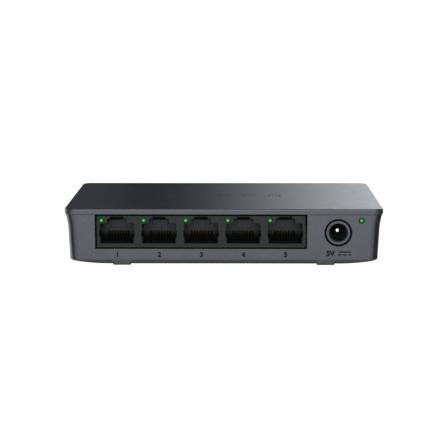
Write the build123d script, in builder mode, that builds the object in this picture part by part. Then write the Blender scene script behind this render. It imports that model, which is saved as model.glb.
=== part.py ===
"""Five-port desktop network switch: a low two-part plastic case with a ganged jack block, a power
inlet, light pipes and the circuit board that carries them.

Millimetres. +Z is up and -Y is the side with the sockets. The origin is the middle of the case in
plan, at the level of the table that the rubber feet stand on.
"""

import os
from math import cos, radians, sin

from build123d import *

# ---------------------------------------------------------------- driving dimensions

# Case
WIDTH, DEPTH, HEIGHT = 115.5, 75.0, 20.5
CORNER_R = 3.5  # vertical corners, in plan
COVER_T = 2.0  # the cover's plate, whose edge shows as a band round the case
BAND_STEP = 0.3  # the base's front and rear faces stand this far behind the band
WALL = 2.0
SEAM, SEAM_DEPTH = 0.2, 0.85  # the shadow gap between band and base: its height, and how far it goes in
FRONT_Y = BAND_STEP - DEPTH / 2  # the front panel's face, which the sockets and the inlet are set out from

# Base, as half widths and heights in its cross-section
UNDERSIDE_Z = 0.5
UNDERSIDE_FLAT = 42.0
WALL_FOOT = (55.95, 1.95)  # where the curved underside meets the side wall
BEVEL_DEPTH = 0.5  # along the bottom of the front and rear faces
SHOULDER_START = (56.5, 12.6)
RIM_HALF = 57.5
FLOOR_Z = 2.2
RIM_Z = HEIGHT - COVER_T
INNER_FOOT_HALF = 54.1
INNER_HALF, INNER_STRAIGHT_Z = 55.15, 14.0

# Circuit board
BOARD_X, BOARD_Y = 51.8, (FRONT_Y + 2.2, 21.0)
BOARD_Z = (4.0, 5.6)
BOARD_SCREWS = [(-47.2, 14.0), (47.2, 14.0)]
BOARD_PEGS = [(-49.4, FRONT_Y + 8.2), (33.1, FRONT_Y + 8.2)]
PEG_R, STANDOFF_R = 1.2, 2.7
TAIL_Z = BOARD_Z[0] - 0.9  # soldered tails end this low

# Sockets: one moulded block of five, on the inch-based grid that such blocks keep
PORTS = 5
PORT_PITCH = 15.24
BLOCK_X, BLOCK_W = -8.2, 75.7
BLOCK_Y = (FRONT_Y + 0.35, FRONT_Y + 15.9)
BLOCK_Z = (BOARD_Z[1], 17.95)
BLOCK_FACE_Z = 6.3  # the face stops here, above a step back that leaves a shadow over the sill
CUTOUT_GAP, CUTOUT_SILL_Z = 0.55, 5.9
CAVITY_BACK_Y = FRONT_Y + 10.9
BLOCK_PEG_OFFSETS = [-1.5 * PORT_PITCH, 1.5 * PORT_PITCH]
BLOCK_PEG_Y, BLOCK_PEG_R = FRONT_Y + 7.7, 1.55

# Contacts
CONTACTS = 8
CONTACT_PITCH = 1.016
WIRE_R = 0.22

# Lamps
LAMP_Z = 16.3
LAMP_OFFSET = -5.56  # from each socket's middle
LAMP_R = 1.08
POWER_LAMP_X = 49.7
PIPE_BACK_Y, POWER_PIPE_BACK_Y = FRONT_Y + 18.3, FRONT_Y + 6.2

# Power inlet
JACK_X, JACK_Z = 41.4, 11.86
JACK_NOSE_R, JACK_PANEL_R = 4.29, 5.05
JACK_BORE_R, JACK_PIN_R, JACK_PIN_ROOT_R = 3.3, 1.0, 0.8
JACK_FRONT_Y, JACK_BODY_Y, JACK_BACK_Y = FRONT_Y + 0.1, FRONT_Y + 2.1, FRONT_Y + 14.6
JACK_BORE_BACK_Y = FRONT_Y + 12.1
JACK_PIN_TIP_Y = FRONT_Y + 6.2

# Feet, fixings and openings underneath
FOOT_X, FOOT_Y = 36.9, 33.5
FOOT_TOP, FOOT_MID, FOOT_TIP = (7.6, 7.3), (6.7, 7.2), (6.2, 7.0)
FOOT_TOP_Z, FOOT_SPLIT_Z = WALL_FOOT[1], 0.4
FOOT_PEG, FOOT_PEG_H, FOOT_PEG_GAP = (4.3, 4.6), 0.55, 0.05
CASE_SCREW_X, CASE_SCREW_Y = 47.0, 28.0
SCREW_SEAT_Z, BOSS_SPLIT_Z = 4.2, 9.0
KEYHOLE_X, KEYHOLE_Y = 36.0, 2.0
KEYHOLE_R, KEYHOLE_SLOT_R, KEYHOLE_RUN = 3.6, 1.8, 7.0
VENT_PITCH, VENT_W = 3.2, 1.5
LABEL, LABEL_Y, LABEL_T = (48.0, 24.0), -8.0, 0.12

# ---------------------------------------------------------------- worked out from those

BASE_HALF_Y = DEPTH / 2 - BAND_STEP
INNER_HALF_Y = BASE_HALF_Y - WALL
PORT_X = [BLOCK_X + (i - (PORTS - 1) / 2) * PORT_PITCH for i in range(PORTS)]
CONTACT_X = [(i - (CONTACTS - 1) / 2) * CONTACT_PITCH for i in range(CONTACTS)]
LAMP_X = [x + LAMP_OFFSET for x in PORT_X]
FEET = {
    "front_left": (-FOOT_X, -FOOT_Y),
    "front_right": (FOOT_X, -FOOT_Y),
    "rear_left": (-FOOT_X, FOOT_Y),
    "rear_right": (FOOT_X, FOOT_Y),
}


UPWARD = (Align.CENTER, Align.CENTER, Align.MIN)
DOWNWARD = (Align.CENTER, Align.CENTER, Align.MAX)
BACKWARD = (Align.CENTER, Align.MIN, Align.MIN)  # from a front face towards +Y, and up


def across(y):
    """The plane that faces the sockets' side at this y: its own x and y are the case's X and Z."""
    return Plane.XZ.offset(-y)


def save(solid, name):
    """Labels one finished piece and writes its STEP file."""
    solid.label = name
    export_step(solid, f"parts/{name}.step")


def at(solid, x, y=0.0, z=0.0):
    """A copy of a piece, moved."""
    return solid.moved(Location((x, y, z)))


os.makedirs("parts", exist_ok=True)

# ---------------------------------------------------------------- base shell

with BuildPart() as base_shell:
    # Outside: one cross-section with a domed underside and flared shoulders, run front to back.
    with BuildSketch(across(-BASE_HALF_Y)) as section:
        with BuildLine():
            floor_line = Line((0, UNDERSIDE_Z), (UNDERSIDE_FLAT, UNDERSIDE_Z))
            bilge = TangentArc(floor_line @ 1, WALL_FOOT, tangent=floor_line % 1)
            side = Line(bilge @ 1, SHOULDER_START)
            shoulder = TangentArc(side @ 1, (RIM_HALF, RIM_Z), tangent=side % 1)
            Line(shoulder @ 1, (0, RIM_Z))
            mirror(about=Plane.YZ)
        make_face()
    extrude(amount=-2 * BASE_HALF_Y)
    corners = base_shell.edges().filter_by(
        lambda e: abs(e.center().X) > WALL_FOOT[0] - 1 and e.center().Z > WALL_FOOT[1] + 0.5
    )
    fillet(corners.filter_by(lambda e: abs(abs(e.center().Y) - BASE_HALF_Y) < 0.01), CORNER_R)
    # A bevel along the bottom of the front and rear faces, level while the underside curves up to it.
    with BuildSketch(Plane.YZ.offset(-WIDTH / 2)):
        with BuildLine():
            Polyline(
                (-BASE_HALF_Y, RIM_Z),
                (-BASE_HALF_Y, WALL_FOOT[1]),
                (-BASE_HALF_Y + BEVEL_DEPTH, UNDERSIDE_Z),
                (BASE_HALF_Y - BEVEL_DEPTH, UNDERSIDE_Z),
                (BASE_HALF_Y, WALL_FOOT[1]),
                (BASE_HALF_Y, RIM_Z),
                close=True,
            )
        make_face()
    extrude(amount=WIDTH, mode=Mode.INTERSECT)

    # Inside
    with BuildSketch(across(-INNER_HALF_Y)):
        with BuildLine():
            Polyline(
                (-INNER_HALF, RIM_Z),
                (-INNER_HALF, INNER_STRAIGHT_Z),
                (-INNER_FOOT_HALF, FLOOR_Z),
                (INNER_FOOT_HALF, FLOOR_Z),
                (INNER_HALF, INNER_STRAIGHT_Z),
                (INNER_HALF, RIM_Z),
                close=True,
            )
        make_face()
    extrude(amount=-2 * INNER_HALF_Y, mode=Mode.SUBTRACT)

    # Shadow gap round the rim
    with BuildSketch(Plane.XY.offset(RIM_Z - SEAM)):
        Rectangle(WIDTH + 1, DEPTH + 1)
        RectangleRounded(
            2 * (RIM_HALF - SEAM_DEPTH), 2 * (BASE_HALF_Y - SEAM_DEPTH), CORNER_R - SEAM_DEPTH,
            mode=Mode.SUBTRACT,
        )
    extrude(amount=SEAM + 1, mode=Mode.SUBTRACT)

    # Foot bosses under the floor, each with a socket for its rubber pad's peg
    for x, y in FEET.values():
        with BuildSketch(Plane.XY.offset(FOOT_TOP_Z)):
            with Locations((x, y)):
                RectangleRounded(*FOOT_TOP, 0.6)
        with BuildSketch(Plane.XY.offset(FOOT_SPLIT_Z)):
            with Locations((x, y)):
                RectangleRounded(*FOOT_MID, 0.6)
        loft()
    with Locations(*[(x, y, FOOT_SPLIT_Z) for x, y in FEET.values()]):
        Box(
            FOOT_PEG[0] + 2 * FOOT_PEG_GAP, FOOT_PEG[1] + 2 * FOOT_PEG_GAP, FOOT_PEG_H + FOOT_PEG_GAP,
            align=UPWARD, mode=Mode.SUBTRACT,
        )

    # Standoffs that carry the board, two with screw holes and two with locating pegs
    with BuildSketch(Plane.XY.offset(FLOOR_Z)):
        with Locations(*BOARD_SCREWS, *BOARD_PEGS):
            Circle(STANDOFF_R)
    extrude(amount=BOARD_Z[0] - FLOOR_Z)
    with BuildSketch(Plane.XY.offset(FLOOR_Z)):
        with Locations(*BOARD_PEGS):
            Circle(PEG_R)
    extrude(amount=BOARD_Z[1] + 0.8 - FLOOR_Z)
    with Locations(*[(x, y, BOARD_Z[0]) for x, y in BOARD_SCREWS]):
        Hole(0.95, depth=BOARD_Z[0] - FLOOR_Z + 0.6)

    # Screw bosses for the cover, entered from underneath
    with BuildSketch(Plane.XY.offset(FLOOR_Z)):
        with Locations((CASE_SCREW_X, CASE_SCREW_Y), (-CASE_SCREW_X, CASE_SCREW_Y)):
            Circle(4.2)
    extrude(amount=BOSS_SPLIT_Z - FLOOR_Z)
    for x in (CASE_SCREW_X, -CASE_SCREW_X):
        with Locations((x, CASE_SCREW_Y, 0)):
            Cylinder(2.9, SCREW_SEAT_Z, align=UPWARD, mode=Mode.SUBTRACT)
            Cylinder(1.5, BOSS_SPLIT_Z, align=UPWARD, mode=Mode.SUBTRACT)

    # Front wall: the block's cut-out, open at the rim, the inlet's hole and the lamp's hole
    with BuildSketch(across(-BASE_HALF_Y - 1)):
        with Locations((BLOCK_X, CUTOUT_SILL_Z)):
            Rectangle(BLOCK_W + 2 * CUTOUT_GAP, RIM_Z, align=(Align.CENTER, Align.MIN))
        with Locations((JACK_X, JACK_Z)):
            Circle(JACK_PANEL_R)
        with Locations((POWER_LAMP_X, LAMP_Z)):
            Circle(LAMP_R + 0.06)
    extrude(amount=-(WALL + 1.5), mode=Mode.SUBTRACT)
    # Relief behind the inlet's hole, which leaves a thin rim
    with BuildSketch(across(FRONT_Y + 0.6)):
        with Locations((JACK_X, JACK_Z)):
            Circle(JACK_PANEL_R + 0.9)
    extrude(amount=-WALL, mode=Mode.SUBTRACT)

    # Rear wall: a row of vents
    with BuildSketch(across(BASE_HALF_Y + 1)):
        with Locations((0, 10.6)):
            with GridLocations(VENT_PITCH, 0, 21, 1):
                SlotOverall(7.2, VENT_W, rotation=90)
    extrude(amount=WALL + 1.5, mode=Mode.SUBTRACT)

    # Floor: vents, keyholes for two wall screws and a shallow bed for the rating label
    with BuildSketch(Plane.XY):
        with Locations((0, 19.5)):
            with GridLocations(VENT_PITCH, 0, 15, 1):
                SlotOverall(13.0, VENT_W, rotation=90)
        with Locations((KEYHOLE_X, KEYHOLE_Y), (-KEYHOLE_X, KEYHOLE_Y)):
            Circle(KEYHOLE_R)
            with Locations((0, KEYHOLE_RUN / 2)):
                SlotOverall(KEYHOLE_RUN + 2 * KEYHOLE_SLOT_R, 2 * KEYHOLE_SLOT_R, rotation=90)
    extrude(amount=FLOOR_Z + 0.1, mode=Mode.SUBTRACT)
    with Locations((0, LABEL_Y, UNDERSIDE_Z)):
        Box(LABEL[0] + 0.4, LABEL[1] + 0.4, LABEL_T + 0.08, align=UPWARD, mode=Mode.SUBTRACT)

    # Catches for the cover's snaps, in both side walls
    with Locations(*[(s * INNER_HALF, y, 17.0) for s in (-1, 1) for y in (-22.0, 8.0)]):
        Box(1.2, 5.6, 1.0, mode=Mode.SUBTRACT)
save(base_shell.part, "base_shell")

# ---------------------------------------------------------------- top cover

LIP_T, LIP_Z, LIP_GAP = 1.1, 16.2, 0.15
with BuildPart() as top_cover:
    with BuildSketch(Plane.XY.offset(RIM_Z)):
        RectangleRounded(WIDTH, DEPTH, CORNER_R)
    extrude(amount=COVER_T)
    fillet(top_cover.edges().group_by(Axis.Z)[-1], 0.4)
    chamfer(top_cover.edges().group_by(Axis.Z)[0], 0.12)
    # A locating lip inside the base's walls, left away where the sockets and the inlet stand
    with BuildSketch(Plane.XY.offset(LIP_Z)):
        RectangleRounded(2 * (INNER_HALF - LIP_GAP), 2 * (INNER_HALF_Y - LIP_GAP), 0.8)
        RectangleRounded(
            2 * (INNER_HALF - LIP_GAP - LIP_T), 2 * (INNER_HALF_Y - LIP_GAP - LIP_T), 0.6,
            mode=Mode.SUBTRACT,
        )
        with Locations((3.0, -INNER_HALF_Y)):
            Rectangle(101.0, 6.0, mode=Mode.SUBTRACT)
    extrude(amount=RIM_Z - LIP_Z)
    # Snaps on the lip
    with Locations(*[(s * (INNER_HALF - LIP_GAP), y, 17.0) for s in (-1, 1) for y in (-22.0, 8.0)]):
        Box(0.8, 5.0, 0.6)
    # Screw pillars
    with BuildSketch(Plane.XY.offset(BOSS_SPLIT_Z)):
        with Locations((CASE_SCREW_X, CASE_SCREW_Y), (-CASE_SCREW_X, CASE_SCREW_Y)):
            Circle(3.4)
            Circle(1.12, mode=Mode.SUBTRACT)
    extrude(amount=RIM_Z - BOSS_SPLIT_Z)
    # Ribs under the plate
    with Locations((0, -8.0, RIM_Z), (0, 8.0, RIM_Z), (0, 24.0, RIM_Z)):
        Box(84.0, 1.0, 2.0, align=DOWNWARD)
save(top_cover.part, "top_cover")

# ---------------------------------------------------------------- jack block

# Right half of a socket's mouth as (half width, height): a narrower foot, side reliefs and the main
# rectangle, then the two steps that take the plug's latch.
MOUTH = [(5.80, 7.85), (5.80, 9.85), (6.43, 10.35), (6.43, 12.56), (5.94, 12.56), (5.94, 15.02)]
LATCH_NOTCH = [(3.32, 15.02), (3.32, 16.70), (2.32, 16.70), (2.32, 17.45)]
TONGUE_HALF, TONGUE_FRONT_Y, TONGUE_Z = 4.7, FRONT_Y + 4.6, (6.9, 7.75)
INSERT_HALF, INSERT_TOP_Z = 6.45, 14.95
FIT = 0.05
FRAME_X, FRAME_LINE = 2.95, 0.34  # shadow lines that frame the middle of each socket's back wall


def both_sides(half):
    """A closed outline from its right half."""
    return Polygon(*half, *[(-x, z) for x, z in reversed(half)], align=None)


with BuildPart() as port_housing:
    with BuildSketch(across(BLOCK_Y[0])):
        with Locations((BLOCK_X, BLOCK_FACE_Z)):
            Rectangle(BLOCK_W, BLOCK_Z[1] - BLOCK_FACE_Z, align=(Align.CENTER, Align.MIN))
    extrude(amount=BLOCK_Y[0] - BLOCK_Y[1])
    fillet(port_housing.faces().sort_by(Axis.Y)[0].edges(), 0.2)
    with Locations((BLOCK_X, BLOCK_Y[0] + 1.6, BLOCK_Z[0])):
        Box(BLOCK_W, BLOCK_Y[1] - BLOCK_Y[0] - 1.6, BLOCK_FACE_Z - BLOCK_Z[0], align=BACKWARD)
    # Mouths
    with BuildSketch(across(BLOCK_Y[0])):
        with Locations(*[(x, 0) for x in PORT_X]):
            both_sides([*MOUTH, *LATCH_NOTCH])
    extrude(amount=BLOCK_Y[0] - CAVITY_BACK_Y, mode=Mode.SUBTRACT)
    # A slot under the roof of each latch notch, and shadow lines down both sides of its back wall
    with Locations(*[(x, CAVITY_BACK_Y, LATCH_NOTCH[-1][1]) for x in PORT_X]):
        Box(2 * LATCH_NOTCH[-1][0], 3.5, 0.35, align=(Align.CENTER, Align.MIN, Align.MAX), mode=Mode.SUBTRACT)
    with Locations(*[(x + s * FRAME_X, CAVITY_BACK_Y, INSERT_TOP_Z) for x in PORT_X for s in (-1, 1)]):
        Box(FRAME_LINE, 0.6, LATCH_NOTCH[1][1] - INSERT_TOP_Z, align=BACKWARD, mode=Mode.SUBTRACT)
    # Pockets for the contact carriers and combs, from behind and along the floor, and the lamps' bores
    with BuildSketch(across(CAVITY_BACK_Y)):
        with Locations(*[(x, BLOCK_Z[0] - 1) for x in PORT_X]):
            Rectangle(
                2 * (INSERT_HALF + FIT), INSERT_TOP_Z + FIT - BLOCK_Z[0] + 1,
                align=(Align.CENTER, Align.MIN),
            )
    extrude(amount=CAVITY_BACK_Y - BLOCK_Y[1] - 1, mode=Mode.SUBTRACT)
    with Locations(*[(x, TONGUE_FRONT_Y - 0.75, TONGUE_Z[0] - FIT) for x in PORT_X]):
        Box(
            2 * (TONGUE_HALF + FIT), CAVITY_BACK_Y - TONGUE_FRONT_Y + 0.76, 1.6,
            align=BACKWARD, mode=Mode.SUBTRACT,
        )
    with BuildSketch(across(BLOCK_Y[0] - 1)):
        with Locations(*[(x, LAMP_Z) for x in LAMP_X]):
            Circle(LAMP_R + FIT)
    extrude(amount=BLOCK_Y[0] - BLOCK_Y[1] - 2, mode=Mode.SUBTRACT)
    # Locating pegs into the board
    with Locations(*[(BLOCK_X + dx, BLOCK_PEG_Y, BLOCK_Z[0]) for dx in BLOCK_PEG_OFFSETS]):
        Cylinder(BLOCK_PEG_R, 1.4, align=DOWNWARD)
save(port_housing.part, "port_housing")

# ---------------------------------------------------------------- contacts, one socket at x = 0

LEAD_Z = 7.3
SPRING_ROOT = (FRONT_Y + 4.25, 8.02)  # (y, z) of the bend where a spring wire leaves its lead
SPRING_TIP = (FRONT_Y + 12.5, 10.3)
LEAD_GAP = 0.3
TAIL_ROWS_Y = (FRONT_Y + 14.6, FRONT_Y + 12.4)


def wire_along(points, radii):
    """A round wire along a bent path in the plane x = 0, given as (y, z) points."""
    with BuildPart() as wire:
        with BuildLine() as path:
            FilletPolyline(*[(0, y, z) for y, z in points], radius=radii)
        with BuildSketch(Plane(origin=path.line @ 0, z_dir=path.line % 0)):
            Circle(WIRE_R)
        sweep()
    return wire.part


lead_top = (SPRING_ROOT[0], SPRING_ROOT[1] - LEAD_GAP)
lead_wires = [
    wire_along([(row_y, TAIL_Z), (row_y, LEAD_Z), (SPRING_ROOT[0], LEAD_Z), lead_top], 0.3)
    for row_y in TAIL_ROWS_Y
]
with BuildPart() as contact_leads:
    for i, x in enumerate(CONTACT_X):
        with Locations((x, 0, 0)):
            add(lead_wires[i % len(TAIL_ROWS_Y)])

# A spring wire is straight from its root and turns down a little where the comb holds its tip.
spring_wire = wire_along(
    [SPRING_ROOT, (SPRING_TIP[0] - 1.6, SPRING_TIP[1]), (SPRING_TIP[0], SPRING_TIP[1] - 0.15)], 1.0
)
with BuildPart() as contact_springs:
    with Locations(*[(x, 0, 0) for x in CONTACT_X]):
        add(spring_wire)

# A carrier holds the leads: a tongue under the wires and a wider foot behind it.
with BuildPart() as contact_carrier:
    with Locations((0, CAVITY_BACK_Y, BLOCK_Z[0] + FIT)):
        Box(
            2 * INSERT_HALF, BLOCK_Y[1] - CAVITY_BACK_Y - FIT, TONGUE_Z[1] - BLOCK_Z[0] - FIT,
            align=BACKWARD,
        )
    with Locations((0, TONGUE_FRONT_Y, TONGUE_Z[0])):
        Box(2 * TONGUE_HALF, CAVITY_BACK_Y - TONGUE_FRONT_Y, TONGUE_Z[1] - TONGUE_Z[0], align=BACKWARD)
    add(contact_leads.part, mode=Mode.SUBTRACT)

# A comb stands on the carrier: its slots guide the wires' tips.
COMB_SLOT, COMB_TOP_Z, GROOVE_Z = (0.62, 2.6), 10.95, 11.9
with BuildPart() as contact_comb:
    with Locations((0, CAVITY_BACK_Y, TONGUE_Z[1])):
        Box(
            2 * INSERT_HALF, BLOCK_Y[1] - CAVITY_BACK_Y - FIT, INSERT_TOP_Z - TONGUE_Z[1],
            align=BACKWARD,
        )
        with GridLocations(CONTACT_PITCH, 0, CONTACTS, 1):
            Box(*COMB_SLOT, COMB_TOP_Z - TONGUE_Z[1], align=BACKWARD, mode=Mode.SUBTRACT)
    # Shadow lines above the slots and a small peg in a round well at each side
    with Locations((0, CAVITY_BACK_Y, GROOVE_Z)):
        Box(2 * FRAME_X + FRAME_LINE, 0.6, FRAME_LINE, align=BACKWARD, mode=Mode.SUBTRACT)
    with Locations((-FRAME_X, CAVITY_BACK_Y, GROOVE_Z), (FRAME_X, CAVITY_BACK_Y, GROOVE_Z)):
        Box(FRAME_LINE, 0.6, INSERT_TOP_Z - GROOVE_Z, align=BACKWARD, mode=Mode.SUBTRACT)
    with BuildSketch(across(CAVITY_BACK_Y)):
        with Locations((-5.2, 8.7), (5.2, 8.7)):
            Circle(0.7)
            Circle(0.36, mode=Mode.SUBTRACT)
    extrude(amount=-0.7, mode=Mode.SUBTRACT)

for number, x in enumerate(PORT_X, 1):
    save(at(contact_carrier.part, x), f"port_{number}_contact_carrier")
    save(at(contact_comb.part, x), f"port_{number}_contact_comb")
    save(at(contact_leads.part, x), f"port_{number}_contact_leads")
    save(at(contact_springs.part, x), f"port_{number}_contact_springs")

# ---------------------------------------------------------------- light pipes and lamps

LAMP_TOP_Z = BOARD_Z[1] + 0.7
PIPE_PROUD = 0.12  # the windows' faces stand this far in front of the block and the panel


def light_pipe(front_y, back_y):
    """A round pipe at x = 0 that runs back from its window and turns down to the lamp under it."""
    elbow, end = (0, back_y, LAMP_Z), (0, back_y, LAMP_TOP_Z + 0.3)
    with BuildPart() as pipe:
        with BuildLine() as path:
            FilletPolyline((0, front_y, LAMP_Z), elbow, end, radius=1.6)
        with BuildSketch(Plane(origin=path.line @ 0, z_dir=path.line % 0)):
            Circle(LAMP_R)
        sweep()
        fillet(pipe.faces().sort_by(Axis.Y)[0].edges(), 0.1)
    return pipe.part


port_pipe = light_pipe(BLOCK_Y[0] - PIPE_PROUD, PIPE_BACK_Y)
for number, x in enumerate(LAMP_X, 1):
    save(at(port_pipe, x), f"port_{number}_light_pipe")
save(at(light_pipe(FRONT_Y - PIPE_PROUD, POWER_PIPE_BACK_Y), POWER_LAMP_X), "power_light_pipe")

with BuildPart() as status_lamps:
    lamp_spots = [(x, PIPE_BACK_Y) for x in LAMP_X] + [(POWER_LAMP_X, POWER_PIPE_BACK_Y)]
    with Locations(*[(x, y, BOARD_Z[1]) for x, y in lamp_spots]):
        Box(1.6, 0.8, LAMP_TOP_Z - BOARD_Z[1], align=UPWARD)
save(status_lamps.part, "status_lamps")

# ---------------------------------------------------------------- power inlet

LEAF_T, LEAF_HALF = 0.3, 1.1
LEAF_PIVOT, LEAF_CREST, LEAF_TIP = (FRONT_Y + 11.3, 7.75), (FRONT_Y + 6.0, 9.05), (FRONT_Y + 3.9, 8.1)
JACK_BODY_HALF, JACK_TOP_Z = 4.9, 16.9

# A tag under the side contact's root, and one for the inlet's break contact
TAG_W, TAG_T = 1.8, 0.5
SLEEVE_TAG_Y, BREAK_TAG = LEAF_PIVOT[0], (JACK_X + JACK_BODY_HALF - 0.6, FRONT_Y + 8.0)

with BuildPart() as dc_jack_terminals:
    with Locations((JACK_X, SLEEVE_TAG_Y, TAIL_Z)):
        Box(TAG_W, TAG_T, LEAF_PIVOT[1] - LEAF_T - TAIL_Z, align=UPWARD)
    with Locations((*BREAK_TAG, TAIL_Z)):
        Box(TAG_W, TAG_T, BLOCK_Z[0] + 3.0 - TAIL_Z, align=UPWARD)
save(dc_jack_terminals.part, "dc_jack_terminals")

with BuildPart() as dc_jack_body:
    with Locations((JACK_X, JACK_BODY_Y, BLOCK_Z[0])):
        Box(2 * JACK_BODY_HALF, JACK_BACK_Y - JACK_BODY_Y, JACK_TOP_Z - BLOCK_Z[0], align=BACKWARD)
    fillet(dc_jack_body.edges().filter_by(Axis.Y).group_by(Axis.Z)[-1], 1.2)
    with BuildSketch(across(JACK_FRONT_Y)):
        with Locations((JACK_X, JACK_Z)):
            Circle(JACK_NOSE_R)
    extrude(amount=JACK_FRONT_Y - JACK_BODY_Y)
    fillet(dc_jack_body.faces().sort_by(Axis.Y)[0].edges(), 0.15)
    with BuildSketch(across(JACK_FRONT_Y - 1)):
        with Locations((JACK_X, JACK_Z)):
            Circle(JACK_BORE_R)
    extrude(amount=JACK_FRONT_Y - 1 - JACK_BORE_BACK_Y, mode=Mode.SUBTRACT)
    front_circles = dc_jack_body.edges().filter_by(GeomType.CIRCLE).group_by(Axis.Y)[0]
    chamfer(front_circles.sort_by(SortBy.RADIUS)[0], 0.35)
    # A dished recess round the pin and the hole that its root is riveted through
    with BuildSketch(across(JACK_BORE_BACK_Y)):
        with Locations((JACK_X, JACK_Z)):
            Circle(2.4)
    extrude(amount=-0.3, mode=Mode.SUBTRACT)
    with BuildSketch(across(JACK_BORE_BACK_Y)):
        with Locations((JACK_X, JACK_Z)):
            Circle(JACK_PIN_ROOT_R)
    extrude(amount=JACK_BORE_BACK_Y - JACK_BACK_Y - 1, mode=Mode.SUBTRACT)
    # Channel under the bore for the side contact
    with Locations((JACK_X, FRONT_Y + 3.2, BLOCK_Z[0] + 0.7)):
        Box(2 * LEAF_HALF + 0.4, 8.8, 3.0, align=BACKWARD, mode=Mode.SUBTRACT)
    add(dc_jack_terminals.part, mode=Mode.SUBTRACT)
save(dc_jack_body.part, "dc_jack_body")

with BuildPart() as dc_jack_pin:
    with BuildSketch(across(JACK_PIN_TIP_Y)):
        with Locations((JACK_X, JACK_Z)):
            Circle(JACK_PIN_R)
    extrude(amount=JACK_PIN_TIP_Y - JACK_BORE_BACK_Y)
    fillet(dc_jack_pin.faces().sort_by(Axis.Y)[0].edges(), 0.5)
    with BuildSketch(across(JACK_BORE_BACK_Y)):
        with Locations((JACK_X, JACK_Z)):
            Circle(JACK_PIN_ROOT_R)
    extrude(amount=JACK_BORE_BACK_Y - JACK_BACK_Y)
    # Its tag runs down the back of the body and through the board
    with Locations((JACK_X, JACK_BACK_Y, TAIL_Z)):
        Box(TAG_W, TAG_T, JACK_Z + 1.6 - TAIL_Z, align=BACKWARD)
save(dc_jack_pin.part, "dc_jack_pin")

with BuildPart() as dc_jack_spring:
    with BuildSketch(Plane.YZ.offset(JACK_X - LEAF_HALF)):
        with BuildLine():
            FilletPolyline(LEAF_PIVOT, LEAF_CREST, LEAF_TIP, radius=1.2)
        trace(line_width=LEAF_T)
    extrude(amount=2 * LEAF_HALF)
save(dc_jack_spring.part, "dc_jack_spring")

# ---------------------------------------------------------------- circuit board

with BuildPart() as main_board:
    with BuildSketch(Plane.XY.offset(BOARD_Z[0])):
        with Locations((0, sum(BOARD_Y) / 2)):
            RectangleRounded(2 * BOARD_X, BOARD_Y[1] - BOARD_Y[0], 1.5)
        with Locations(*BOARD_SCREWS):
            Circle(1.4, mode=Mode.SUBTRACT)
        with Locations(*BOARD_PEGS):
            Circle(PEG_R + 0.1, mode=Mode.SUBTRACT)
        with Locations(*[(BLOCK_X + dx, BLOCK_PEG_Y) for dx in BLOCK_PEG_OFFSETS]):
            Circle(BLOCK_PEG_R + 0.1, mode=Mode.SUBTRACT)
        for port_x in PORT_X:
            with Locations(*[
                (port_x + x, TAIL_ROWS_Y[i % len(TAIL_ROWS_Y)]) for i, x in enumerate(CONTACT_X)
            ]):
                Circle(WIRE_R + 0.13, mode=Mode.SUBTRACT)
        with Locations((JACK_X, JACK_BACK_Y + TAG_T / 2), (JACK_X, SLEEVE_TAG_Y), BREAK_TAG):
            SlotOverall(TAG_W + 0.6, TAG_T + 0.4, mode=Mode.SUBTRACT)
    extrude(amount=BOARD_Z[1] - BOARD_Z[0])
save(main_board.part, "main_board")

# ---------------------------------------------------------------- parts on the board

BOARD_TOP = BOARD_Z[1]
PACKAGE_STANDOFF, LEAD_T = 0.15, 0.2


def gull_lead(start, reach, exit_z):
    """A gull-wing lead's middle line as (across, up): out of the body, down, and out to a flat foot."""
    knee = start + reach * 0.45
    return [(start, exit_z), (knee, exit_z), (knee + 0.1, LEAD_T / 2), (start + reach, LEAD_T / 2)]


def leaded_package(length, width, height, leads, pitch, lead_w, sides=(0, 180)):
    """A soldered package centred at the origin on z = 0, with a row of leads on each of its sides."""
    with BuildPart() as lead:
        with BuildSketch(Plane.YZ.offset(-lead_w / 2)):
            with BuildLine():
                FilletPolyline(*gull_lead(width / 2 - 0.1, 1.1, height / 2), radius=0.12)
            trace(line_width=LEAD_T)
        extrude(amount=lead_w)
    with BuildPart() as package:
        with Locations((0, 0, PACKAGE_STANDOFF)):
            Box(length, width, height - PACKAGE_STANDOFF, align=UPWARD)
        chamfer(package.edges().group_by(Axis.Z)[-1], 0.12)
        with Locations((-length / 2 + 1.1, -width / 2 + 1.1, height)):
            Cylinder(0.4, 0.1, align=DOWNWARD, mode=Mode.SUBTRACT)
        row = [(i - (leads - 1) / 2) * pitch for i in range(leads)]
        with Locations(*[Rotation(0, 0, side) * Location((x, 0, 0)) for side in sides for x in row]):
            add(lead.part)
    return package.part


TRANSFORMER_Y = FRONT_Y + 26.4
transformer = leaded_package(12.7, 7.4, 5.0, 8, 1.27, 0.42)
for number, x in enumerate(PORT_X, 1):
    save(at(transformer, x, TRANSFORMER_Y, BOARD_TOP), f"port_{number}_transformer")

quad = leaded_package(14.0, 14.0, 1.5, 16, 0.8, 0.35, sides=(0, 90, 180, 270))
save(at(quad, -4.0, 6.5, BOARD_TOP), "switch_chip")
save(at(leaded_package(4.9, 3.9, 1.6, 4, 1.27, 0.42), 16.0, 13.5, BOARD_TOP), "flash_memory")
save(at(leaded_package(4.9, 3.9, 1.6, 4, 1.27, 0.42), 36.5, -9.5, BOARD_TOP), "buck_regulator")

with BuildPart() as crystal:
    with BuildSketch(Plane.XY.offset(BOARD_TOP + 0.5)):
        with Locations((-21.0, 9.5)):
            SlotOverall(11.0, 4.6, rotation=90)
    extrude(amount=0.4)
    with BuildSketch(Plane.XY.offset(BOARD_TOP + 0.9)):
        with Locations((-21.0, 9.5)):
            SlotOverall(10.2, 3.8, rotation=90)
    extrude(amount=2.6)
    fillet(crystal.edges().group_by(Axis.Z)[-1], 0.5)
    with Locations((-21.0, 7.05, BOARD_TOP + 0.5), (-21.0, 11.95, BOARD_TOP + 0.5)):
        Box(1.2, 0.6, 0.5, align=DOWNWARD)
save(crystal.part, "crystal")

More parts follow.
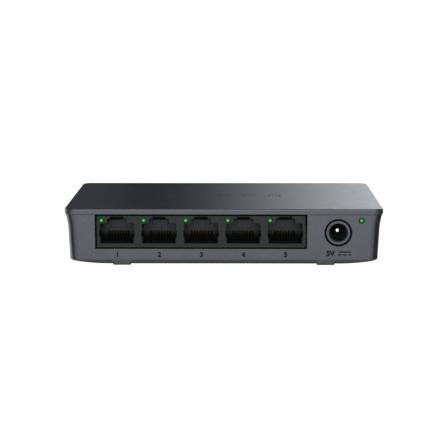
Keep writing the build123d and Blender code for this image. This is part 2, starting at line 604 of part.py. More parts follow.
with BuildPart() as power_inductor:
    with Locations((46.0, -9.5, BOARD_TOP)):
        Box(6.0, 6.0, 0.8, align=UPWARD)
        Cylinder(2.3, 2.6, align=UPWARD)
    with Locations((46.0, -9.5, BOARD_TOP + 2.2)):
        Box(6.0, 6.0, 0.8, align=UPWARD)
    fillet(power_inductor.edges().filter_by(Axis.Z).filter_by(lambda e: e.length < 1), 1.0)
save(power_inductor.part, "power_inductor")

with BuildPart() as inductor_winding:
    with BuildSketch(Plane.XY.offset(BOARD_TOP + 0.8)):
        with Locations((46.0, -9.5)):
            Circle(2.75)
            Circle(2.3, mode=Mode.SUBTRACT)
    extrude(amount=1.4)
save(inductor_winding.part, "inductor_winding")

with BuildPart() as input_capacitors:
    with Locations((36.0, -2.0, BOARD_TOP), (43.5, -2.0, BOARD_TOP)):
        Box(5.2, 5.2, 0.8, align=UPWARD)
        Cylinder(2.5, 5.6, align=UPWARD)
    fillet(input_capacitors.edges().group_by(Axis.Z)[-1], 0.4)
save(input_capacitors.part, "input_capacitors")

with BuildPart() as protection_diode:
    with Locations((36.5, -15.5, BOARD_TOP + 0.1)):
        Box(4.3, 2.6, 2.1, align=UPWARD)
    chamfer(protection_diode.edges().group_by(Axis.Z)[-1], 0.15)
    with Locations((34.0, -15.5, BOARD_TOP), (39.0, -15.5, BOARD_TOP)):
        Box(0.7, 1.5, 1.0, align=UPWARD)
save(protection_diode.part, "protection_diode")


def chip_row(count, pitch, size, places):
    """Rows of two-terminal chips, each row centred on a place."""
    with BuildPart() as rows:
        for x, y in places:
            with Locations((x, y, BOARD_TOP)):
                with GridLocations(pitch, 0, count, 1):
                    Box(*size, align=UPWARD)
    return rows.part


save(chip_row(4, 2.6, (0.8, 1.6, 0.8), [(-4.0, 17.0), (14.0, 4.5)]), "ceramic_capacitors")
save(chip_row(4, 2.0, (0.8, 1.6, 0.45), [(-4.0, -4.2), (-35.0, 12.0)]), "chip_resistors")

# ---------------------------------------------------------------- screws


def screw(head_r, head_h, shank_r, length):
    """A cross-recess self-tapping screw pointing down, with its head's underside at the origin."""
    with BuildPart() as body:
        Cylinder(head_r, head_h, align=UPWARD)
        fillet(body.edges().group_by(Axis.Z)[-1], head_h * 0.45)
        with Locations((0, 0, head_h)):
            Box(head_r * 1.1, 0.5, head_h * 0.9, mode=Mode.SUBTRACT)
            Box(0.5, head_r * 1.1, head_h * 0.9, mode=Mode.SUBTRACT)
        Cylinder(shank_r, length, align=DOWNWARD)
        chamfer(body.edges().group_by(Axis.Z)[0], shank_r * 0.6)
    return body.part


upright = screw(2.5, 1.5, 1.08, 11.0).rotate(Axis.X, 180)
with BuildPart() as case_screws:
    with Locations(*[(s * CASE_SCREW_X, CASE_SCREW_Y, SCREW_SEAT_Z) for s in (-1, 1)]):
        add(upright)
save(case_screws.part, "case_screws")

with BuildPart() as board_screws:
    with Locations(*[(x, y, BOARD_TOP) for x, y in BOARD_SCREWS]):
        add(screw(2.3, 1.3, 0.9, 3.8))
save(board_screws.part, "board_screws")

# ---------------------------------------------------------------- feet and label

for corner, (x, y) in FEET.items():
    with BuildPart() as foot:
        with Locations((x, y, FOOT_SPLIT_Z)):
            Box(*FOOT_PEG, FOOT_PEG_H, align=UPWARD)
        with BuildSketch(Plane.XY.offset(FOOT_SPLIT_Z)):
            with Locations((x, y)):
                RectangleRounded(*[side - 0.1 for side in FOOT_MID], 0.55)
        with BuildSketch(Plane.XY):
            with Locations((x, y)):
                RectangleRounded(*FOOT_TIP, 0.5)
        loft()
    save(foot.part, f"rubber_foot_{corner}")

with BuildPart() as rating_label:
    with Locations((0, LABEL_Y, UNDERSIDE_Z + 0.05)):
        Box(*LABEL, LABEL_T, align=UPWARD)
    fillet(rating_label.edges().filter_by(Axis.Z), 1.5)
save(rating_label.part, "rating_label")
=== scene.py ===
"""A five-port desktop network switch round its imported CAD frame: materials, printed marks, lamps,
studio and camera. Metres, in the CAD's own frame: +Z up, sockets towards -Y."""

import math

import bmesh
import bpy
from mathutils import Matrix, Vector


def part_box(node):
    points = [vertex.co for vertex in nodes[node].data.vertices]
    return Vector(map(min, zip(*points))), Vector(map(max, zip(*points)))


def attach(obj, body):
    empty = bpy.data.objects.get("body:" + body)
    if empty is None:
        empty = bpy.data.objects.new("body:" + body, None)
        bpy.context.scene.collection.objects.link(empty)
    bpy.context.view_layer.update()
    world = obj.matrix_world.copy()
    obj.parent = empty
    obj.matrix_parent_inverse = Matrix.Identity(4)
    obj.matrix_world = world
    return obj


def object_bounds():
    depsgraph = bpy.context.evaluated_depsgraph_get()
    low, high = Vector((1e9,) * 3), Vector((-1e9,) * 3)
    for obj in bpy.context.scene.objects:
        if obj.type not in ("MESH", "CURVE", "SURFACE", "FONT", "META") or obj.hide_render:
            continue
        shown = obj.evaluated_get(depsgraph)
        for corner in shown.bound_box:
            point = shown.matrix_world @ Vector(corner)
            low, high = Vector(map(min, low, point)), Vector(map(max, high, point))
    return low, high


MM = 0.001
PORTS = 5
CASE = "switch_case"
WHITE = (1.0, 1.0, 1.0)
COOL = (0.94, 0.98, 1.06)  # white with a little blue

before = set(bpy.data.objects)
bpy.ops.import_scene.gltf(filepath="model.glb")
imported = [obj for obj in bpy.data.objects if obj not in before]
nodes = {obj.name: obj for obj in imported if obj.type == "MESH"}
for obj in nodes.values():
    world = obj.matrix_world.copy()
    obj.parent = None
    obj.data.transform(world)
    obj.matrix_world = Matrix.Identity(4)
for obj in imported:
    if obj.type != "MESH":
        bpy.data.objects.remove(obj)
cad_low, cad_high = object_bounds()
scene = bpy.context.scene

# ---------------------------------------------------------------- camera


def make_camera():
    """A long lens just above the case, a little to the right of its middle and aimed back at it."""
    distance, rise, sideways = 0.5458, 0.0791, 0.0038
    down, leftward = 8.8, 0.39  # degrees
    data = bpy.data.cameras.new("camera")
    data.sensor_width, data.lens = 36.0, 123.0
    data.clip_start, data.clip_end = 0.01, 100.0
    camera = bpy.data.objects.new("camera", data)
    camera.location = (sideways, cad_low.y - distance, cad_high.z + rise)
    camera.rotation_euler = (math.radians(90 - down), 0, math.radians(leftward))
    scene.collection.objects.link(camera)
    scene.camera = camera


# ---------------------------------------------------------------- material nodes


class Shader:
    """One material's node tree, with short calls for the nodes it is built from."""

    def __init__(self, name, colour, roughness, **sockets):
        self.material = bpy.data.materials.new(name)
        self.material.use_nodes = True
        self.tree = self.material.node_tree
        self.surface = self.tree.nodes["Principled BSDF"]
        self.place = self.add("ShaderNodeTexCoord").outputs["Object"]
        self.set("Base Color", (*colour, 1.0))
        self.set("Roughness", roughness)
        for socket, value in sockets.items():
            self.set(socket.replace("_", " ").title().replace("Ior", "IOR"), value)

    def add(self, kind, **values):
        node = self.tree.nodes.new(kind)
        for key, value in values.items():
            if hasattr(node, key):
                setattr(node, key, value)
            else:
                node.inputs[key.replace("_", " ").title()].default_value = value
        return node

    def link(self, output, target):
        self.tree.links.new(output, target)

    def set(self, socket, value):
        self.surface.inputs[socket].default_value = value

    def drive(self, socket, output):
        self.link(output, self.surface.inputs[socket])

    def noise(self, size, detail=2.0, roughness=0.5):
        """Noise whose largest grains are about `size` metres across."""
        node = self.add("ShaderNodeTexNoise", scale=1.0 / size, detail=detail, roughness=roughness)
        self.link(self.place, node.inputs["Vector"])
        return node.outputs["Fac"]

    def ramp(self, value, low, high, to_low=0.0, to_high=1.0, smooth=False):
        """Maps low..high to to_low..to_high and stays level beyond both ends."""
        node = self.add("ShaderNodeMapRange")
        node.interpolation_type = "SMOOTHSTEP" if smooth else "LINEAR"
        self.link(value, node.inputs["Value"])
        ends = {"From Min": low, "From Max": high, "To Min": to_low, "To Max": to_high}
        for key, number in ends.items():
            node.inputs[key].default_value = number
        return node.outputs["Result"]

    def math(self, operation, a, b=0.0):
        node = self.add("ShaderNodeMath", operation=operation)
        for slot, value in zip(node.inputs, (a, b)):
            if isinstance(value, (int, float)):
                slot.default_value = value
            else:
                self.link(value, slot)
        return node.outputs[0]

    def distance(self, a, b):
        """How far a point with the coordinates a and b is from their origin."""
        squares = [self.math("MULTIPLY", side, side) for side in (a, b)]
        return self.math("SQRT", self.math("ADD", *squares))

    def mix(self, share, a, b):
        """Colour a where share is 0 and b where it is 1; each is a colour or another node's output."""
        node = self.add("ShaderNodeMix", data_type="RGBA")
        inputs = [s for s in node.inputs if s.type == "RGBA"]
        self.link(share, node.inputs["Factor"])
        for slot, colour in zip(inputs, (a, b)):
            if isinstance(colour, tuple):
                slot.default_value = (*colour, 1.0)
            else:
                self.link(colour, slot)
        return [s for s in node.outputs if s.type == "RGBA"][0]

    def axes(self):
        node = self.add("ShaderNodeSeparateXYZ")
        self.link(self.place, node.inputs[0])
        return node.outputs

    def bump(self, *layers):
        """Stacks height maps, each as (height, strength, depth in metres)."""
        last = None
        for height, strength, depth in layers:
            node = self.add("ShaderNodeBump", strength=strength, distance=depth)
            self.link(height, node.inputs["Height"])
            if last:
                self.link(last, node.inputs["Normal"])
            last = node.outputs["Normal"]
        self.drive("Normal", last)


def moulded_plastic(
    name, colour, roughness, grain=0.22 * MM, depth=0.012 * MM, lift=1.25, **sockets
):
    """Dyed plastic from a spark-eroded mould: a fine even grain, faint clouding and a rubbed sheen."""
    sheen = 0.02  # how far rubbing moves the roughness either way
    s = Shader(name, colour, roughness, **sockets)
    fine = s.noise(grain, 3.0, 0.6)
    cloud = s.noise(14 * MM, 3.0)
    rub = s.noise(3.5 * MM, 4.0, 0.65)
    tint = s.math("ADD", s.math("MULTIPLY", fine, 0.45), s.math("MULTIPLY", cloud, 0.55))
    light = tuple(min(1.0, c * lift) for c in colour)
    dark = tuple(c / lift for c in colour)
    s.drive("Base Color", s.mix(s.ramp(tint, 0.35, 0.65), dark, light))
    s.drive("Roughness", s.ramp(rub, 0.3, 0.7, roughness - sheen, roughness + sheen))
    s.bump((fine, 0.5, depth), (rub, 0.15, depth))
    return s.material


# The socket mouths, as (half width, top) of each step in mm, which the painted shade in and around them
# follows, and where painted shade makes the comb's teeth fall dark
MOUTH_STEPS = ((5.94, 15.02), (3.32, 16.7), (2.32, 17.45))
MOUTH_FLOOR, EDGE_FADE = 7.85 * MM, 0.4 * MM
COMB_DARK, COMB_LIGHT = 0.3 * MM, 4.1 * MM


def socket_plastic():
    """The socket block's moulding, plain on its face, with painted shade darkening it inside the mouths
    and along their edges.
    """
    face_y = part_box("port_housing")[0].y
    middles = [sum(corner.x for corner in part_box(f"port_{i}_contact_comb")) / 2 for i in (1, 2)]
    s = Shader("jack_moulding_painted_shade", (0.0095, 0.0118, 0.0098), 0.45, specular_ior_level=0.2)
    x, y, z = s.axes()
    # Painted shade: the colour darkens from the block's face back into the mouths
    deep = s.ramp(y, face_y + 0.05 * MM, face_y + 0.8 * MM, smooth=True)
    beside = s.math("PINGPONG", s.math("SUBTRACT", x, middles[0]), (middles[1] - middles[0]) / 2)
    above_floor = s.ramp(z, MOUTH_FLOOR - 0.1 * MM, MOUTH_FLOOR)
    # Painted shade along the mouths' edges: it follows each step of their outline and fades out just
    # past it onto the face
    mouth_shade = 0.0
    for half, top in MOUTH_STEPS:
        across = s.ramp(beside, half * MM, half * MM + EDGE_FADE, 1.0, 0.0)
        below = s.ramp(z, top * MM, top * MM + EDGE_FADE, 1.0, 0.0)
        mouth_shade = s.math("MAXIMUM", s.math("MULTIPLY", across, below), mouth_shade)
    deep = s.math("MAXIMUM", deep, s.math("MULTIPLY", mouth_shade, above_floor))
    fine = s.noise(0.3 * MM, 3.0)
    face = s.mix(fine, (0.0072, 0.0102, 0.0072), (0.009, 0.0126, 0.009))
    # The dark colour mixed in here is painted shade, not the moulding's own tone
    s.drive("Base Color", s.mix(deep, face, (0.0035, 0.004, 0.0036)))
    s.drive("Roughness", s.ramp(deep, 0.0, 1.0, 0.45, 1.0))
    s.bump((fine, 0.5, 0.008 * MM))
    return s.material


def insert_plastic():
    """Carriers and combs: their moulding, grey at the comb's head and darkened by painted shade down
    between its teeth.
    """
    foot_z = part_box("port_1_contact_comb")[0].z
    s = Shader("insert_moulding_painted_shade", (0.012, 0.013, 0.013), 0.45, specular_ior_level=0.27)
    # Painted shade: the colour falls dark from the comb's head down to its foot
    head = s.ramp(s.axes()["Z"], foot_z + COMB_DARK, foot_z + COMB_LIGHT, smooth=True)
    fine = s.noise(0.3 * MM, 3.0)
    light = s.mix(fine, (0.0085, 0.009, 0.009), (0.011, 0.0115, 0.0115))
    s.drive("Base Color", s.mix(head, (0.003, 0.0032, 0.0028), light))
    s.drive("Roughness", s.ramp(head, 0.0, 1.0, 0.95, 0.45))
    s.bump((fine, 0.4, 0.008 * MM))
    return s.material


def metal(name, colour, roughness, grain=0.4 * MM):
    """Plated or drawn metal with slight tarnish and fine drawing marks."""
    wear = 0.12
    s = Shader(name, colour, roughness, metallic=1.0)
    patch = s.noise(grain * 4, 4.0, 0.6)
    fine = s.noise(grain, 2.0)
    dull = tuple(c * 0.72 for c in colour)
    s.drive("Base Color", s.mix(s.ramp(patch, 0.4, 0.7), colour, dull))
    s.drive("Roughness", s.ramp(patch, 0.3, 0.7, roughness, roughness + wear))
    s.bump((fine, 0.2, 0.003 * MM))
    return s.material


def inlet_plastic():
    """The inlet's moulding: grey on its rim and black down its bore, where the black is painted shade.
    """
    rim_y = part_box("dc_jack_body")[0].y
    s = Shader("inlet_moulding_painted_shade", (0.03, 0.032, 0.036), 0.42, specular_ior_level=0.5)
    # Painted shade: the colour goes black from the rim back down the bore
    deep = s.ramp(s.axes()["Y"], rim_y + 0.05 * MM, rim_y + 0.9 * MM, smooth=True)
    fine = s.noise(0.2 * MM, 3.0)
    rim = s.mix(fine, (0.04, 0.043, 0.048), (0.06, 0.064, 0.072))
    s.drive("Base Color", s.mix(deep, rim, (0.003, 0.0032, 0.003)))
    s.drive("Roughness", s.ramp(deep, 0.0, 1.0, 0.4, 1.0))
    s.bump((fine, 0.3, 0.008 * MM))
    return s.material


def pin_metal():
    """The inlet's centre pin: a painted highlight on the middle of its tip, and painted shade darkening
    it elsewhere.
    """
    low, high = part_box("dc_jack_pin")
    tag_rise = 1.6 * MM  # the tag behind the pin reaches this far above its axis
    s = Shader("pin_painted_highlight", (0.9, 0.89, 0.86), 0.4, metallic=1.0)
    x, _, z = s.axes()
    across = s.math("SUBTRACT", x, (low.x + high.x) / 2)
    up = s.math("SUBTRACT", z, high.z - tag_rise)
    # Painted highlight: a bright disc in the middle of the tip; beyond it the pin is painted dark as
    # shade
    beyond_highlight = s.ramp(s.distance(across, up), 0.46 * MM, 0.62 * MM)
    patch = s.noise(0.3 * MM, 3.0)
    s.drive("Base Color", s.mix(beyond_highlight, (0.95, 0.94, 0.92), (0.04, 0.04, 0.042)))
    s.drive("Roughness", s.ramp(patch, 0.3, 0.7, 0.42, 0.55))
    return s.material


def lens_material():
    """A lamp's window: a bright green core that falls to dark green at the rim."""
    s = Shader("lamp_window", (0.001, 0.012, 0.002), 0.3, specular_ior_level=0.1)
    x, _, z = s.axes()
    radius = s.distance(x, z)
    core = s.ramp(radius, 0.34 * MM, 0.74 * MM, 1.0, 0.0, smooth=True)
    heart = s.ramp(radius, 0.05 * MM, 0.5 * MM, 1.0, 0.0, smooth=True)
    glow = s.mix(heart, (0.02, 0.5, 0.04), (0.27, 0.97, 0.26))
    s.drive("Emission Color", s.mix(core, (0.001, 0.03, 0.002), glow))
    s.set("Emission Strength", 0.7)
    return s.material


def light_pipe_plastic():
    """Clear acrylic, lit green from the lamp below it."""
    s = Shader("light_pipe_acrylic", (0.05, 0.22, 0.07), 0.2, emission_strength=0.05)
    fine = s.noise(0.8 * MM, 2.0)
    s.set("Emission Color", (0.05, 0.8, 0.1, 1.0))
    s.drive("Base Color", s.mix(fine, (0.02, 0.12, 0.03), (0.06, 0.26, 0.08)))
    return s.material


def board_laminate():
    """Green solder mask with lighter copper runs under it."""
    s = Shader("solder_mask", (0.01, 0.09, 0.035), 0.3)
    bricks = s.add("ShaderNodeTexBrick", scale=1.0 / (6.0 * MM), offset=0.37)
    s.link(s.place, bricks.inputs["Vector"])
    for key, value in (("Mortar Size", 0.035), ("Brick Width", 0.9), ("Row Height", 0.13)):
        bricks.inputs[key].default_value = value
    weave = s.noise(0.9 * MM, 2.0)
    plain = s.mix(weave, (0.006, 0.07, 0.025), (0.012, 0.1, 0.04))
    s.drive("Base Color", s.mix(bricks.outputs["Fac"], plain, (0.03, 0.17, 0.07)))
    s.drive("Roughness", s.ramp(weave, 0.3, 0.7, 0.24, 0.36))
    s.bump((bricks.outputs["Fac"], 0.4, 0.02 * MM))
    return s.material


def printed_ink():
    """Matt black screen ink with a slightly uneven coat."""
    s = Shader("printed_ink", (0.006, 0.0065, 0.008), 0.7, specular_ior_level=0.1)
    patchy = s.noise(0.25 * MM, 3.0)
    s.drive("Base Color", s.mix(patchy, (0.004, 0.0045, 0.006), (0.01, 0.0105, 0.013)))
    s.drive("Roughness", s.ramp(patchy, 0.3, 0.7, 0.55, 0.68))
    return s.material


def lid_ink():
    """The lid's mark is printed in a tone close to the lid's own, so it hardly shows."""
    s = Shader("lid_ink", (0.03, 0.032, 0.037), 0.6)
    patchy = s.noise(0.25 * MM, 3.0)
    s.drive("Base Color", s.mix(patchy, (0.02, 0.021, 0.025), (0.034, 0.036, 0.041)))
    return s.material


def label_film():
    """The blank silver-grey film of the rating label."""
    s = Shader("label_film", (0.5, 0.51, 0.52), 0.38)
    fibre = s.noise(0.5 * MM, 3.0)
    s.drive("Base Color", s.mix(fibre, (0.46, 0.47, 0.48), (0.53, 0.54, 0.55)))
    s.drive("Roughness", s.ramp(fibre, 0.3, 0.7, 0.32, 0.45))
    return s.material


# ---------------------------------------------------------------- what each node is made of

CASE_GREY = (0.013, 0.0145, 0.0175)
COVER_GREY = (0.0195, 0.0235, 0.0275)
RUBBER_GREY = (0.03, 0.031, 0.034)
MATERIALS = {
    "case": lambda: moulded_plastic(
        "case_moulding", CASE_GREY, 0.26, depth=0.002 * MM, specular_ior_level=0.85
    ),
    "cover": lambda: moulded_plastic(
        "cover_moulding", COVER_GREY, 0.31, depth=0.008 * MM, specular_ior_level=0.7
    ),
    "jack": socket_plastic,
    "insert": insert_plastic,
    "package": lambda: moulded_plastic("package_epoxy", (0.018, 0.018, 0.02), 0.5, grain=0.15 * MM),
    "foot": lambda: moulded_plastic("foot_rubber", RUBBER_GREY, 0.75, grain=0.3 * MM, depth=0.03 * MM),
    # Gold plating darkened well below gold's own tone as painted shade, for contacts sitting in the
    # socket slots
    "contact": lambda: metal("gold_painted_shade", (0.1, 0.08, 0.042), 0.38, grain=0.2 * MM),
    # Nickel darkened as painted shade, for the spring down in the inlet's bore
    "nickel_painted_shade": lambda: metal("nickel_painted_shade", (0.07, 0.07, 0.072), 0.45),
    "pin": pin_metal,
    "nickel": lambda: metal("nickel_plate", (0.72, 0.71, 0.68), 0.2),
    "steel": lambda: metal("zinc_plate", (0.42, 0.43, 0.45), 0.3),
    "can": lambda: metal("drawn_can", (0.68, 0.68, 0.69), 0.25),
    "copper": lambda: metal("enamelled_copper", (0.55, 0.22, 0.08), 0.3, grain=0.15 * MM),
    "ferrite": lambda: moulded_plastic("ferrite", (0.03, 0.03, 0.033), 0.7, grain=0.2 * MM),
    "chip": lambda: moulded_plastic("chip_ceramic", (0.3, 0.24, 0.16), 0.5, grain=0.2 * MM, lift=1.1),
    "inlet": inlet_plastic,
    "pipe": light_pipe_plastic,
    "board": board_laminate,
    "label": label_film,
    "ink": printed_ink,
    "lid_ink": lid_ink,
    "lens": lens_material,
}
made = {}


def material(key):
    """Each material is made once, the first time something asks for it."""
    if key not in made:
        made[key] = MATERIALS[key]()
    return made[key]


# The material of every node whose name holds these words
FINISH = {
    "top_cover": "cover",
    "base_shell": "case",
    "port_housing": "jack",
    "contact_carrier": "insert",
    "contact_comb": "insert",
    "contact_leads": "contact",
    "contact_springs": "contact",
    "light_pipe": "pipe",
    "status_lamps": "pipe",
    "dc_jack_body": "inlet",
    "dc_jack_pin": "pin",
    # Darkened nickel: painted shade for the spring inside the bore
    "dc_jack_spring": "nickel_painted_shade",
    "dc_jack_terminals": "nickel",
    "main_board": "board",
    "transformer": "package",
    "switch_chip": "package",
    "flash_memory": "package",
    "buck_regulator": "package",
    "protection_diode": "package",
    "crystal": "can",
    "input_capacitors": "can",
    "power_inductor": "ferrite",
    "inductor_winding": "copper",
    "ceramic_capacitors": "chip",
    "chip_resistors": "package",
    "screws": "steel",
    "rubber_foot": "foot",
    "rating_label": "label",
}


def finish_nodes():
    """Gives every CAD node its material."""
    for name, node in nodes.items():
        key = next(FINISH[part] for part in FINISH if part in name)
        node.data.materials.clear()
        node.data.materials.append(material(key))


# ---------------------------------------------------------------- added pieces

INK = 0.02 * MM  # the thickness of every printed mark


def add_piece(name, mesh, key, place=(0, 0, 0)):
    """Links a mesh as a piece of the case, with its material and the record's slot."""
    piece = bpy.data.objects.new(name, mesh)
    piece.location = place
    scene.collection.objects.link(piece)
    mesh.materials.clear()
    mesh.materials.append(material(key))
    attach(piece, CASE)


def lens_mesh(radius, crown):
    """A shallow dome that faces -Y, on the plane y = 0, closed behind."""
    bm = bmesh.new()
    rings, steps = 8, 32
    tip = bm.verts.new((0, -crown, 0))
    last = None
    for i in range(1, rings + 1):
        slope = i / rings * math.pi / 2
        r, rise = radius * math.sin(slope), crown * math.cos(slope)
        turns = [k / steps * math.tau for k in range(steps)]
        ring = [bm.verts.new((r * math.cos(t), -rise, r * math.sin(t))) for t in turns]
        for k in range(steps):
            after = (k + 1) % steps
            if last is None:
                bm.faces.new((tip, ring[k], ring[after]))
            else:
                bm.faces.new((last[k], ring[k], ring[after], last[after]))
        last = ring
    bm.faces.new(last)
    bmesh.ops.recalc_face_normals(bm, faces=bm.faces)
    mesh = bpy.data.meshes.new("lens")
    bm.to_mesh(mesh)
    bm.free()
    for face in mesh.polygons:
        face.use_smooth = len(face.vertices) < 5
    return mesh


def make_lamps():
    """The lit windows on the ends of the light pipes."""
    inset, crown, share = 0.02 * MM, 0.14 * MM, 0.97
    for name in [f"port_{i}" for i in range(1, PORTS + 1)] + ["power"]:
        low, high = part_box(f"{name}_light_pipe")
        radius = (high.x - low.x) / 2
        centre = Vector(((low.x + high.x) / 2, low.y + inset, high.z - radius))
        lens = lens_mesh(radius * share, crown)
        add_piece(f"{name}_lamp_window", lens, "lens", centre)


def text_mesh(words, height):
    """Lettering as a thin closed mesh in the XZ plane, facing -Y, centred on the origin."""
    weight = 0.055  # how far the strokes are thickened, as a share of the font's size
    curve = bpy.data.curves.new("words", "FONT")
    curve.body, curve.align_x, curve.align_y = words, "CENTER", "CENTER"
    curve.size, curve.extrude, curve.offset = 1.0, 0.01, weight
    holder = bpy.data.objects.new("words", curve)
    mesh = bpy.data.meshes.new_from_object(holder)
    bpy.data.objects.remove(holder)
    xs, ys, zs = ([v.co[i] for v in mesh.vertices] for i in range(3))
    scale = height / (max(ys) - min(ys))
    middle = ((max(xs) + min(xs)) / 2, (max(ys) + min(ys)) / 2)
    deep = INK / (max(zs) - min(zs))
    for v in mesh.vertices:
        v.co = ((v.co.x - middle[0]) * scale, -v.co.z * deep, (v.co.y - middle[1]) * scale)
    return mesh


def bar_mesh(boxes):
    """A closed mesh of plain bars, each as (centre, size)."""
    bm = bmesh.new()
    for centre, size in boxes:
        corners = bmesh.ops.create_cube(bm, size=1.0)["verts"]
        bmesh.ops.scale(bm, vec=size, verts=corners)
        bmesh.ops.translate(bm, vec=centre, verts=corners)
    mesh = bpy.data.meshes.new("bars")
    bm.to_mesh(mesh)
    bm.free()
    return mesh


def make_printing():
    """Port numbers, the inlet's voltage and its direct-current sign, all on the front panel."""
    panel_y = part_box("base_shell")[0].y - INK * 0.2
    number_height, number_shift, number_z = 1.95 * MM, 0.13 * MM, 3.85 * MM
    for i in range(1, PORTS + 1):
        low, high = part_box(f"port_{i}_contact_comb")
        place = ((low.x + high.x) / 2 + number_shift, panel_y, number_z)
        add_piece(f"port_number_{i}", text_mesh(str(i), number_height), "ink", place)

    low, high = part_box("dc_jack_body")
    x = (low.x + high.x) / 2
    mark_height, mark_z = 2.15 * MM, 4.3 * MM
    place = (x - 2.7 * MM, panel_y, mark_z)
    add_piece("voltage_mark", text_mesh("5V", mark_height), "ink", place)

    dash, gap, thick, rise = 1.2 * MM, 0.55 * MM, 0.48 * MM, 0.52 * MM
    bars = [((0, 0, rise), (3 * dash + 2 * gap, INK, thick))]
    bars += [((k * (dash + gap), 0, -rise), (dash, INK, thick)) for k in (-1, 0, 1)]
    place = (x + 2.4 * MM, panel_y, mark_z)
    add_piece("direct_current_mark", bar_mesh(bars), "ink", place)


def make_lid_mark():
    """Five small socket outlines in a row: a plain sign for a five-port switch."""
    top_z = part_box("top_cover")[1].z
    forward = 0.4 * MM
    pitch, width, depth, line = 9.6 * MM, 4.6 * MM, 4.0 * MM, 0.45 * MM
    latch = width * 0.4
    # One outline's bars, each as (x, y, width, depth): foot, sides, shoulders, latch sides, latch top
    outline = [(0, -depth / 2, width, line)]
    for side in (-1, 1):
        outline.append((side * (width - line) / 2, -line / 2, line, depth - line))
        outline.append((side * width * 0.34, depth / 2 - line, width * 0.32, line))
        outline.append((side * latch / 2, depth / 2 - line * 0.1, line, line * 1.8))
    outline.append((0, depth / 2 + line * 0.8, latch + line, line))
    bars = []
    for k in range(PORTS):
        middle = (k - (PORTS - 1) / 2) * pitch
        bars += [((middle + x, y, 0), (wide, deep, INK)) for x, y, wide, deep in outline]
    add_piece("lid_mark", bar_mesh(bars), "lid_ink", (0, -forward, top_z))


# ---------------------------------------------------------------- studio


def softbox(name, place, size, power, tint=WHITE):
    """A rectangular lamp that points at the case and doesn't show itself."""
    target = (0, 0, 0.01)
    data = bpy.data.lights.new(name, "AREA")
    data.shape, data.energy, data.color = "RECTANGLE", power, tint
    data.size, data.size_y = size
    light = bpy.data.objects.new(name, data)
    light.location = place
    light.rotation_euler = (Vector(target) - Vector(place)).to_track_quat("-Z", "Y").to_euler()
    light.visible_camera = False
    scene.collection.objects.link(light)


# How strongly the floor glows ahead of the case, beside each of its corners, far off, and close in
# front as a share of FRONT_GLOW
FRONT_GLOW, LEFT_GLOW, RIGHT_GLOW, FAR_GLOW, NEAR_SHARE = 1.15, 1.6, 0.05, 0.2, 0.55
# Bearings from a front corner, measured out from straight ahead: the glow ahead ends at FRONT_TURN,
# the glow beside starts at BACK_TURN, both over FEATHER either way, and it fades out by FADE_END
FRONT_TURN, BACK_TURN, FEATHER = (math.radians(a) for a in (50.0, 100.0, 12.0))
FADE_START, FADE_END = (math.radians(a) for a in (125.0, 176.0))


def plane_mesh(name, size_x, size_y):
    """One flat quad in the XY plane, centred on the origin."""
    bm = bmesh.new()
    bmesh.ops.create_grid(bm, x_segments=1, y_segments=1, size=0.5)
    bmesh.ops.scale(bm, vec=(size_x, size_y, 1), verts=bm.verts)
    mesh = bpy.data.meshes.new(name)
    bm.to_mesh(mesh)
    bm.free()
    return mesh


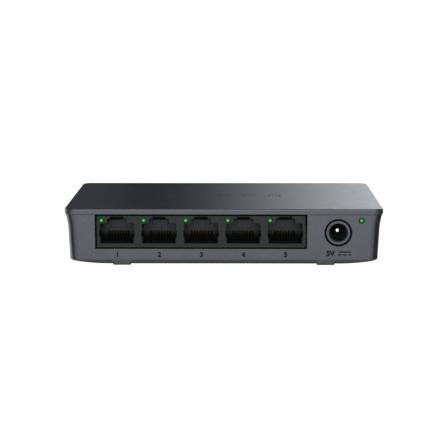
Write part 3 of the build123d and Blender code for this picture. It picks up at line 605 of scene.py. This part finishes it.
def make_floor():
    """A wide pale floor. To the camera it is white; what the case mirrors is a lit apron in front of
    it and softer ones beside its corners, with dark wedges between that draw its rounded corners."""
    wide, below_feet = 40.0, 0.02 * MM
    mesh = plane_mesh("floor", wide, wide)
    floor = bpy.data.objects.new("floor", mesh)
    floor.location.z = -below_feet
    scene.collection.objects.link(floor)
    s = Shader("floor_paint", (0.2, 0.2, 0.2), 0.9, specular_ior_level=0.0)
    x, y, _ = s.axes()
    outward = s.math("SUBTRACT", s.math("ABSOLUTE", x), cad_high.x)
    ahead = s.math("SUBTRACT", cad_low.y, y)
    bearing = s.math("ARCTAN2", outward, ahead)

    front = s.ramp(bearing, FRONT_TURN - FEATHER, FRONT_TURN + FEATHER, 1.0, 0.0, smooth=True)
    near = s.ramp(ahead, -1 * MM, 1 * MM, 0.0, NEAR_SHARE, smooth=True)
    clear = s.math("MAXIMUM", near, s.ramp(ahead, 2 * MM, 9 * MM, smooth=True))
    apron = s.math("MULTIPLY", s.math("MULTIPLY", front, clear), FRONT_GLOW)

    beside = s.ramp(bearing, BACK_TURN - FEATHER, BACK_TURN + FEATHER, smooth=True)
    fading = s.ramp(bearing, FADE_START, FADE_END, 1.0, 0.0, smooth=True)
    side_glow = s.ramp(x, -0.05, 0.05, LEFT_GLOW, RIGHT_GLOW)
    corners = s.math("MULTIPLY", s.math("MULTIPLY", beside, fading), side_glow)

    far = s.ramp(s.distance(x, y), 0.16, 0.4, 0.0, FAR_GLOW, smooth=True)
    glow = s.math("MAXIMUM", s.math("ADD", apron, corners), far)
    seen = s.add("ShaderNodeLightPath").outputs["Is Camera Ray"]
    hidden = s.math("MULTIPLY", glow, s.math("SUBTRACT", 1.0, seen))
    s.drive("Emission Color", s.mix(seen, COOL, WHITE))
    s.drive("Emission Strength", s.math("ADD", hidden, seen))
    mesh.materials.append(s.material)


def make_graded_card():
    """A tall glowing card behind the case, dark at its left end, that grades the lid's reflection."""
    mesh = plane_mesh("graded_card", 3.0, 1.0)
    card = bpy.data.objects.new("graded_card", mesh)
    card.location = (1.3, 2.2, 0.5)
    card.rotation_euler = (math.radians(90), 0, 0)
    card.visible_camera = False
    scene.collection.objects.link(card)
    s = Shader("card_glow", (0.0, 0.0, 0.0), 1.0, specular_ior_level=0.0)
    s.set("Emission Color", (0.95, 0.985, 1.04, 1.0))
    s.drive("Emission Strength", s.ramp(s.axes()["X"], -1.42, -0.62, 0.0, 3.4, smooth=True))
    mesh.materials.append(s.material)


def make_studio():
    """A world that is white to the camera and dim to everything else, and three soft lamps."""
    dim_tint, dim_strength = (0.9, 0.95, 1.0), 0.09
    world = bpy.data.worlds.new("studio")
    scene.world = world
    world.use_nodes = True
    tree = world.node_tree
    dim = tree.nodes["Background"]
    dim.inputs["Color"].default_value = (*dim_tint, 1.0)
    dim.inputs["Strength"].default_value = dim_strength
    white = tree.nodes.new("ShaderNodeBackground")
    white.inputs["Color"].default_value = (*WHITE, 1.0)
    seen = tree.nodes.new("ShaderNodeLightPath")
    both = tree.nodes.new("ShaderNodeMixShader")
    tree.links.new(seen.outputs["Is Camera Ray"], both.inputs["Fac"])
    tree.links.new(dim.outputs[0], both.inputs[1])
    tree.links.new(white.outputs[0], both.inputs[2])
    tree.links.new(both.outputs[0], tree.nodes["World Output"].inputs["Surface"])

    softbox("front_key", (0.0, -1.5, 0.38), (1.1, 0.7), 15.0, COOL)
    softbox("overhead", (0.0, -0.35, 1.6), (0.9, 0.7), 5.0)
    softbox("left_strip", (-1.3, 0.75, 0.3), (0.5, 0.8), 10.0)


make_camera()
finish_nodes()
make_lamps()
make_printing()
make_lid_mark()
make_floor()
make_graded_card()
make_studio()
scene.view_settings.view_transform = "Standard"
